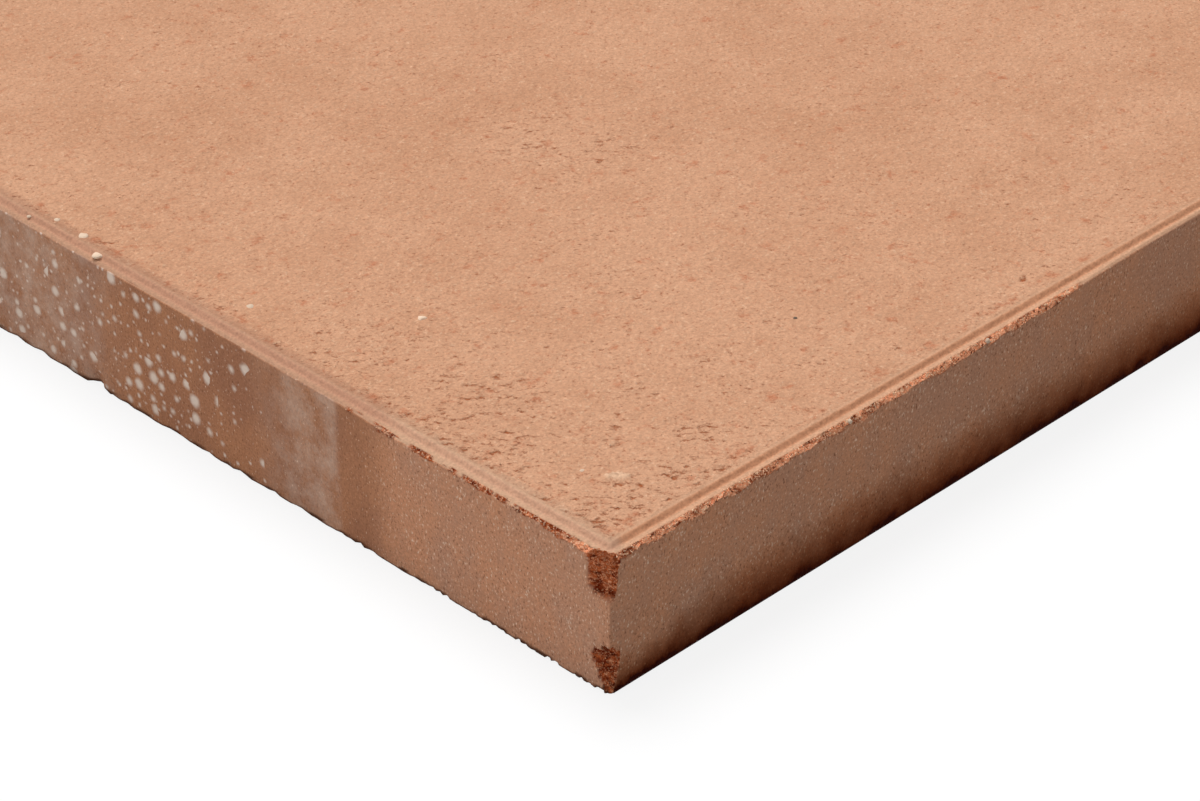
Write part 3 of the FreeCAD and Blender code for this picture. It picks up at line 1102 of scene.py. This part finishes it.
def with_new_masks(tree, geometry, place, given, mask, foot):
    """The geometry with its torn clusters, its broken foot and the soot and painted shadow of its worn foot
    written to its masks.
    """
    geometry = stored(tree, geometry, "torn", clustered(tree, place, given, mask))
    # The soot mask also paints the shadow where the worn foot meets the floor.
    sooted_and_shadowed = add_node(tree, "ShaderNodeMath", TIMES_PLUS, {0: mask["foot_wear"], 1: SOOT_AND_SHADOW_REACH, 2: foot})
    geometry = stored(tree, geometry, "soot_and_shadow", edge_of(tree, sooted_and_shadowed))
    broken = add_node(tree, "ShaderNodeMath", LARGER, {0: mask["broken"], 1: edge_of(tree, foot)})
    return stored(tree, geometry, "broken", broken)


def pressed_height(tree, place, given, mask, foot):
    """How far the field's lumps, its pits and the worn foot move the surface, in mm."""
    bare = add_node(tree, "ShaderNodeMath", LESS, {0: 1.0, 1: mask["skin"]})
    height = add_node(tree, "ShaderNodeMath", TIMES, {0: field_relief(tree, place, given, mask), 1: bare})
    pits = torn_pits(tree, torn_place(tree, place), mask["torn"])
    pits = add_node(tree, "ShaderNodeMath", TIMES, {0: pits, 1: bare})
    dug = add_node(tree, "ShaderNodeMath", TIMES, {0: pits, 1: given["Pit Depth"]})
    for loss in (dug, lost_height(tree, foot, given["Foot Depth"])):
        height = add_node(tree, "ShaderNodeMath", LESS, {0: height, 1: loss})
    return height


def with_break_crumbs(tree, height, place, given, mask):
    """A height with the crumbs of the breaks added, calmer on the crumbled arrises."""
    crumbs = centred_noise(tree, place, given["Crumb Size"], given["Seed"])
    crumbs = add_node(tree, "ShaderNodeMath", TIMES, {0: crumbs, 1: given["Crumb Height"]})
    crumbs = add_node(tree, "ShaderNodeMath", {"operation": "MINIMUM"}, {0: crumbs, 1: CRUMBS_STAND_OUT})
    calm = add_node(tree, "ShaderNodeMapRange", {},
                    {"Value": mask["crumbled"], "To Min": 1.0, "To Max": ARRIS_ROUGH_SHARE})
    crumbs = add_node(tree, "ShaderNodeMath", TIMES, {0: crumbs, 1: calm})
    return add_node(tree, "ShaderNodeMath", TIMES_PLUS, {0: crumbs, 1: mask["broken"], 2: height})


# %% Relief tree
RELIEF_SIZES = {
    "Lump Size": 2.4, "Lump Height": 0.45,
    "Pit Depth": 0.22, "Cluster Size": 6.0, "Cluster Strength": 0.3,
    "Foot Size": 3.4, "Foot Height": 0.65, "Foot Depth": 0.15,
    "Crumb Size": 0.9, "Crumb Height": 2.2,
    "Seed": 7.0,
}


def sizes_as_sockets(tree, sizes):
    """Give a tree its geometry in and out, one named input for each size, and a material input."""
    tree.interface.new_socket("Geometry", in_out="INPUT", socket_type="NodeSocketGeometry")
    for name, value in sizes.items():
        tree.interface.new_socket(name, in_out="INPUT", socket_type="NodeSocketFloat").default_value = value
    tree.interface.new_socket("Material", in_out="INPUT", socket_type="NodeSocketMaterial")
    tree.interface.new_socket("Geometry", in_out="OUTPUT", socket_type="NodeSocketGeometry")


def relief_tree():
    """A tree that roughens the pressed slab. Its sizes are in mm."""
    tree = bpy.data.node_groups.new("clay_relief", "GeometryNodeTree")
    sizes_as_sockets(tree, RELIEF_SIZES)
    given = add_node(tree, "NodeGroupInput", {}, {}).outputs
    position = add_node(tree, "GeometryNodeInputPosition", {}, {})
    place = add_node(tree, "ShaderNodeVectorMath", {"operation": "SCALE"}, {0: position, "Scale": 1.0 / MM})
    mask = {name: add_node(tree, "GeometryNodeInputNamedAttribute", {"data_type": "FLOAT"}, {"Name": name})
            for name in masks}
    foot = foot_loss(tree, place, given, mask)
    geometry = with_new_masks(tree, given["Geometry"], place, given, mask, foot)
    height = pressed_height(tree, place, given, mask, foot)
    height = with_break_crumbs(tree, height, place, given, mask)

    metres = add_node(tree, "ShaderNodeMath", TIMES, {0: height, 1: MM})
    normal = add_node(tree, "GeometryNodeInputNormal", {}, {})
    offset = add_node(tree, "ShaderNodeVectorMath", {"operation": "SCALE"}, {0: normal, "Scale": metres})
    geometry = add_node(tree, "GeometryNodeSetPosition", {}, {"Geometry": geometry, "Offset": offset})
    geometry = add_node(tree, "GeometryNodeRealizeInstances", {}, {"Geometry": geometry})
    geometry = add_node(tree, "GeometryNodeSetMaterial", {},
                        {"Geometry": geometry, "Material": given["Material"]})
    add_node(tree, "NodeGroupOutput", {}, {"Geometry": geometry})
    print(f"{tree.name}: {len(tree.nodes)} nodes")
    return tree


# %% [markdown]
# ## From a tree to a plain mesh
#
# A modifier's inputs are set by each socket's identifier before the object is evaluated for the first
# time. The evaluated result is then copied into a plain mesh, and the modifier goes, so that the plain
# mesh is exactly what is seen.

# %% Run a tree
def run_tree(name, mesh, tree, material):
    """A new object at the origin with the plain mesh that a tree makes from another mesh."""
    piece = bpy.data.objects.new(name, mesh)
    bpy.context.scene.collection.objects.link(piece)
    modifier = piece.modifiers.new(tree.name, "NODES")
    modifier.node_group = tree
    for socket in tree.interface.items_tree:
        if socket.name == "Material":
            modifier[socket.identifier] = material
    graph = bpy.context.evaluated_depsgraph_get()
    made = bpy.data.meshes.new_from_object(piece.evaluated_get(graph), depsgraph=graph)
    piece.modifiers.clear()
    piece.data = made
    made.name = name
    triangles = sum(len(face.vertices) - 2 for face in made.polygons)
    print(f"{name}: {len(made.vertices)} points, {triangles} triangles")
    return piece


tile = run_tree("terracotta_tile", slab, relief_tree(), clay)

# %% [markdown]
# ## Crumbs
#
# Breaks and tears are full of crumbs that stand out and catch the light. There are far too many to place
# by hand, so a second tree scatters small lumps over the finished tile, thickly where it is broken and
# thinly where the field is torn. The points take over the tile's masks, so one material serves both. A
# random value makes some crumbs paler than others.

# %% Crumbs tree
CRUMB_SIZES = {"Broken Crumbs": 12.0, "Torn Crumbs": 1.0, "Smallest": 0.06, "Largest": 0.21, "Seed": 3.0}
CRUMB_SHAPE = (1.0, 0.8, 0.65)
PALEST_CRUMB = 0.8
FULL_TURN = (math.tau, math.tau, math.tau)


def crumb_density(tree, given):
    """How many crumbs there are to a square metre: sizes are given to a square millimetre."""
    mask = {name: add_node(tree, "GeometryNodeInputNamedAttribute", {"data_type": "FLOAT"}, {"Name": name})
            for name in ("broken", "soot_and_shadow", "torn", "skin")}
    clear_of_dark_foot = add_node(tree, "ShaderNodeMath", CLAMPED_LESS, {0: mask["broken"], 1: mask["soot_and_shadow"]})
    torn = add_node(tree, "ShaderNodeMath", CLAMPED_LESS, {0: mask["torn"], 1: mask["skin"]})
    torn = add_node(tree, "ShaderNodeMath", TIMES, {0: torn, 1: given["Torn Crumbs"]})
    both = add_node(tree, "ShaderNodeMath", TIMES_PLUS, {0: clear_of_dark_foot, 1: given["Broken Crumbs"], 2: torn})
    return add_node(tree, "ShaderNodeMath", TIMES, {0: both, 1: 1.0 / MM ** 2})


def crumbs_tree():
    """A tree that scatters crumbs over a mesh. Its sizes are in mm."""
    tree = bpy.data.node_groups.new("clay_crumbs", "GeometryNodeTree")
    sizes_as_sockets(tree, CRUMB_SIZES)
    given = add_node(tree, "NodeGroupInput", {}, {}).outputs
    scattered = add_node(tree, "GeometryNodeDistributePointsOnFaces", {},
                         {"Mesh": given["Geometry"], "Density": crumb_density(tree, given),
                          "Seed": given["Seed"]})
    tone = add_node(tree, "FunctionNodeRandomValue", {"data_type": "FLOAT"},
                    {3: PALEST_CRUMB, "Seed": given["Seed"]})
    scattered = stored(tree, scattered, "crumb", tone)
    radius = add_node(tree, "FunctionNodeRandomValue", {"data_type": "FLOAT"},
                      {2: given["Smallest"], 3: given["Largest"]})
    radius = add_node(tree, "ShaderNodeMath", TIMES, {0: radius, 1: MM})
    turn = add_node(tree, "FunctionNodeRandomValue", {"data_type": "FLOAT_VECTOR"}, {1: FULL_TURN})
    lump = add_node(tree, "GeometryNodeMeshIcoSphere", {}, {"Radius": 1.0, "Subdivisions": 1})
    lump = add_node(tree, "GeometryNodeTransform", {}, {"Geometry": lump, "Scale": CRUMB_SHAPE})
    geometry = add_node(tree, "GeometryNodeInstanceOnPoints", {},
                        {"Points": scattered, "Instance": lump, "Rotation": turn, "Scale": radius})
    geometry = add_node(tree, "GeometryNodeRealizeInstances", {}, {"Geometry": geometry})
    geometry = add_node(tree, "GeometryNodeSetMaterial", {},
                        {"Geometry": geometry, "Material": given["Material"]})
    add_node(tree, "NodeGroupOutput", {}, {"Geometry": geometry})
    print(f"{tree.name}: {len(tree.nodes)} nodes")
    return tree


crumbs = run_tree("clay_crumbs", tile.data, crumbs_tree(), clay)

# %% [markdown]
# ## Grit
#
# A few stones that were in the clay show as grains, most of them pale, half sunk in the field and in one
# arris, and flat lumps of lime lie along the step. There are only a handful, so each is listed.
# Noise takes the roundness off the balls that they are made of. Its seed is set, because by itself it
# would differ each time.

# %% Stones
STONES = [
    {"at": (24.3, 64.6, 24.7), "radius": 0.75, "flat": 1.0, "pale": 1.0},
    {"at": (7.9, 86.1, 24.7), "radius": 0.8, "flat": 0.6, "pale": 0.75},
    {"at": (12.0, 17.4, 24.8), "radius": 0.5, "flat": 0.6, "pale": 0.75},
    {"at": (64.8, 23.8, 24.8), "radius": 0.4, "flat": 1.0, "pale": 0.0},
    {"at": (50.2, -0.3, 23.8), "radius": 0.42, "flat": 1.0, "pale": 0.7},
    {"at": (82.0, -0.3, 23.8), "radius": 0.42, "flat": 1.0, "pale": 0.6},
    {"at": (1.4, 115.5, 24.6), "radius": 1.0, "flat": 0.35, "pale": 0.95},
    {"at": (3.2, 121.6, 24.9), "radius": 0.9, "flat": 0.35, "pale": 0.9},
    {"at": (3.5, 128.6, 24.9), "radius": 0.55, "flat": 0.4, "pale": 0.8},
    {"at": (1.4, 133.2, 24.6), "radius": 0.45, "flat": 0.5, "pale": 0.8},
]
STONE_LUMP = 0.35
STONE_SEED = 4


def grit_mesh():
    """All the stones as one mesh, each with its paleness."""
    noise.seed_set(STONE_SEED)
    form = bmesh.new()
    pale = form.verts.layers.float.new("pale")
    for stone in STONES:
        radius = stone["radius"] * MM
        centre = (Vector(stone["at"]) - Vector((HALF, HALF, 0.0))) * MM
        made = bmesh.ops.create_icosphere(form, subdivisions=2, radius=radius,
                                          matrix=Matrix.Translation(centre))
        for vert in made["verts"]:
            vert.co += noise.noise_vector(vert.co / radius) * radius * STONE_LUMP
            vert.co.z = centre.z + (vert.co.z - centre.z) * stone["flat"]
            vert[pale] = stone["pale"]
    mesh = bpy.data.meshes.new("grit_stones")
    form.to_mesh(mesh)
    form.free()
    mesh.shade_smooth()
    return mesh


# %% Stone finish
STONE_GREY = "#766759"
STONE_WHITE = "#f0d4ba"
STONE_ROUGHNESS = 0.7


def grit_material():
    """Dull quartz and limestone: matt, from grey to almost white."""
    material = bpy.data.materials.new("dull_quartz")
    material.use_nodes = True
    tree = material.node_tree
    tree.nodes.clear()
    pale = add_node(tree, "ShaderNodeAttribute", {"attribute_name": "pale"}, {})
    colour = add_node(tree, "ShaderNodeMix", MIX_COLOURS,
                      {FACTOR: pale.outputs["Fac"],
                       COLOUR_A: linear(STONE_GREY), COLOUR_B: linear(STONE_WHITE)})
    shader = add_node(tree, "ShaderNodeBsdfPrincipled", {},
                      {"Base Color": colour, "Roughness": STONE_ROUGHNESS,
                       "Specular IOR Level": CLAY_SPECULAR})
    add_node(tree, "ShaderNodeOutputMaterial", {}, {"Surface": shader})
    return material


grit = bpy.data.objects.new("grit_stones", grit_mesh())
grit.data.materials.append(grit_material())
bpy.context.scene.collection.objects.link(grit)
print(f"{grit.name}: {len(STONES)} stones, {len(grit.data.polygons)} triangles")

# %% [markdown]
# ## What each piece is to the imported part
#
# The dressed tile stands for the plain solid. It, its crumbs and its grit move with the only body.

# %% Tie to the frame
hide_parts("tile")
for piece in (tile, crumbs, grit):
    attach(piece, "root")

# %% [markdown]
# ## Floor and light
#
# A plain pale floor keeps the tile's soft shadow. Seen by the camera, it is nearly white. The light is a
# large soft key from above and behind, a weak fill from the left and an even sky. A sun lamp lights the
# floor evenly however far it runs, and its angle sets how soft the shadows are. The two edges that face
# the camera are turned away from the key, so much of their light is what the pale floor throws up onto
# them.

# %% Floor
FLOOR_SIZE = 8.0
FLOOR_GAP = 0.05
FLOOR_BOUNCE = "#bebebc"
SHADOW_SHARE = 0.15


def seen_directly(tree):
    """1 for rays that show the background itself, and 0 for rays that light the tile."""
    rays = add_node(tree, "ShaderNodeLightPath", {}, {})
    mirrored = add_node(tree, "ShaderNodeMath", LARGER,
                        {0: rays.outputs["Is Glossy Ray"], 1: rays.outputs["Is Transmission Ray"]})
    return add_node(tree, "ShaderNodeMath", LARGER, {0: rays.outputs["Is Camera Ray"], 1: mirrored})


def floor_material():
    """Matt pale board that looks white but still takes a shadow."""
    material = bpy.data.materials.new("pale_floor")
    material.use_nodes = True
    tree = material.node_tree
    tree.nodes.clear()
    board = add_node(tree, "ShaderNodeBsdfDiffuse", {}, {"Color": linear(FLOOR_BOUNCE)})
    shaded = add_node(tree, "ShaderNodeBsdfDiffuse", {}, {"Color": linear(WHITE)})
    glow = add_node(tree, "ShaderNodeEmission", {}, {"Color": linear(WHITE), "Strength": 1.0})
    shown = add_node(tree, "ShaderNodeMixShader", {}, {0: SHADOW_SHARE, 1: glow, 2: shaded})
    surface = add_node(tree, "ShaderNodeMixShader", {}, {0: seen_directly(tree), 1: board, 2: shown})
    add_node(tree, "ShaderNodeOutputMaterial", {}, {"Surface": surface})
    return material


floor_mesh = bpy.data.meshes.new("floor")
edge = FLOOR_SIZE / 2.0
level = -FLOOR_GAP * MM
floor_corners = [(-edge, -edge, level), (edge, -edge, level), (edge, edge, level), (-edge, edge, level)]
floor_mesh.from_pydata(floor_corners, [], [(0, 1, 2, 3)])
floor_mesh.materials.append(floor_material())
floor = bpy.data.objects.new("floor", floor_mesh)
bpy.context.scene.collection.objects.link(floor)
print(f"floor: {FLOOR_SIZE:.0f} m square")

# %% Sky
SKY_STRENGTH = 0.3

sky = bpy.data.worlds.new("even_sky")
sky.use_nodes = True
air = sky.node_tree
air.nodes.clear()
even = add_node(air, "ShaderNodeBackground", {}, {"Color": linear(WHITE), "Strength": SKY_STRENGTH})
bright = add_node(air, "ShaderNodeBackground", {}, {"Color": linear(WHITE), "Strength": 1.0})
chosen = add_node(air, "ShaderNodeMixShader", {}, {0: seen_directly(air), 1: even, 2: bright})
add_node(air, "ShaderNodeOutputWorld", {}, {"Surface": chosen})
bpy.context.scene.world = sky
print(f"{sky.name}: strength {SKY_STRENGTH}")

# %% Lamps
KEY_FROM = Vector((0.18, 0.37, 0.9))
KEY_STRENGTH = 2.45
KEY_SOFT_ANGLE = 30.0
FILL_FROM = Vector((-0.95, 0.1, 0.3))
FILL_STRENGTH = 0.85
FILL_SOFT_ANGLE = 60.0


def add_lamp(name, towards, strength, soft_angle):
    """A soft lamp that shines from a direction."""
    lamp = bpy.data.lights.new(name, "SUN")
    lamp.energy = strength
    lamp.angle = math.radians(soft_angle)
    holder = bpy.data.objects.new(name, lamp)
    holder.rotation_euler = towards.to_track_quat("Z", "Y").to_euler()
    bpy.context.scene.collection.objects.link(holder)


add_lamp("key", KEY_FROM, KEY_STRENGTH, KEY_SOFT_ANGLE)
add_lamp("fill", FILL_FROM, FILL_STRENGTH, FILL_SOFT_ANGLE)

# %% [markdown]
# ## Camera
#
# The photograph was taken with a long lens, close to the broken corner and looking along the tile's
# diagonal. Its angles and distance were worked out from the tile's four visible edges, so they are given
# from that corner: how far the camera is turned and tipped, and where the corner lies in front of it.

# %% Camera
LENS = 107.9
TURNED = math.radians(45.21)
TIPPED = math.radians(32.82)
CORNER_RIGHT = 1.34
CORNER_UP = -21.93
CORNER_AHEAD = 501.9
NEAREST_SEEN = 10.0

right = Vector((math.cos(TURNED), -math.sin(TURNED), 0.0))
level_ahead = math.cos(TIPPED)
ahead = Vector((math.sin(TURNED) * level_ahead, math.cos(TURNED) * level_ahead, -math.sin(TIPPED)))
up = right.cross(ahead)
corner = Vector((-HALF, -HALF, MARGIN_LEVEL))
eye = corner - (right * CORNER_RIGHT + up * CORNER_UP + ahead * CORNER_AHEAD)

lens = bpy.data.cameras.new("camera")
lens.lens = LENS
lens.clip_start = MM * NEAREST_SEEN
camera = bpy.data.objects.new("camera", lens)
camera.matrix_world = Matrix.Translation(eye * MM) @ Matrix((right, up, -ahead)).transposed().to_4x4()
bpy.context.scene.collection.objects.link(camera)
bpy.context.scene.camera = camera
bpy.context.scene.view_settings.view_transform = "Standard"
print(f"camera at {[round(value) for value in eye]} mm")
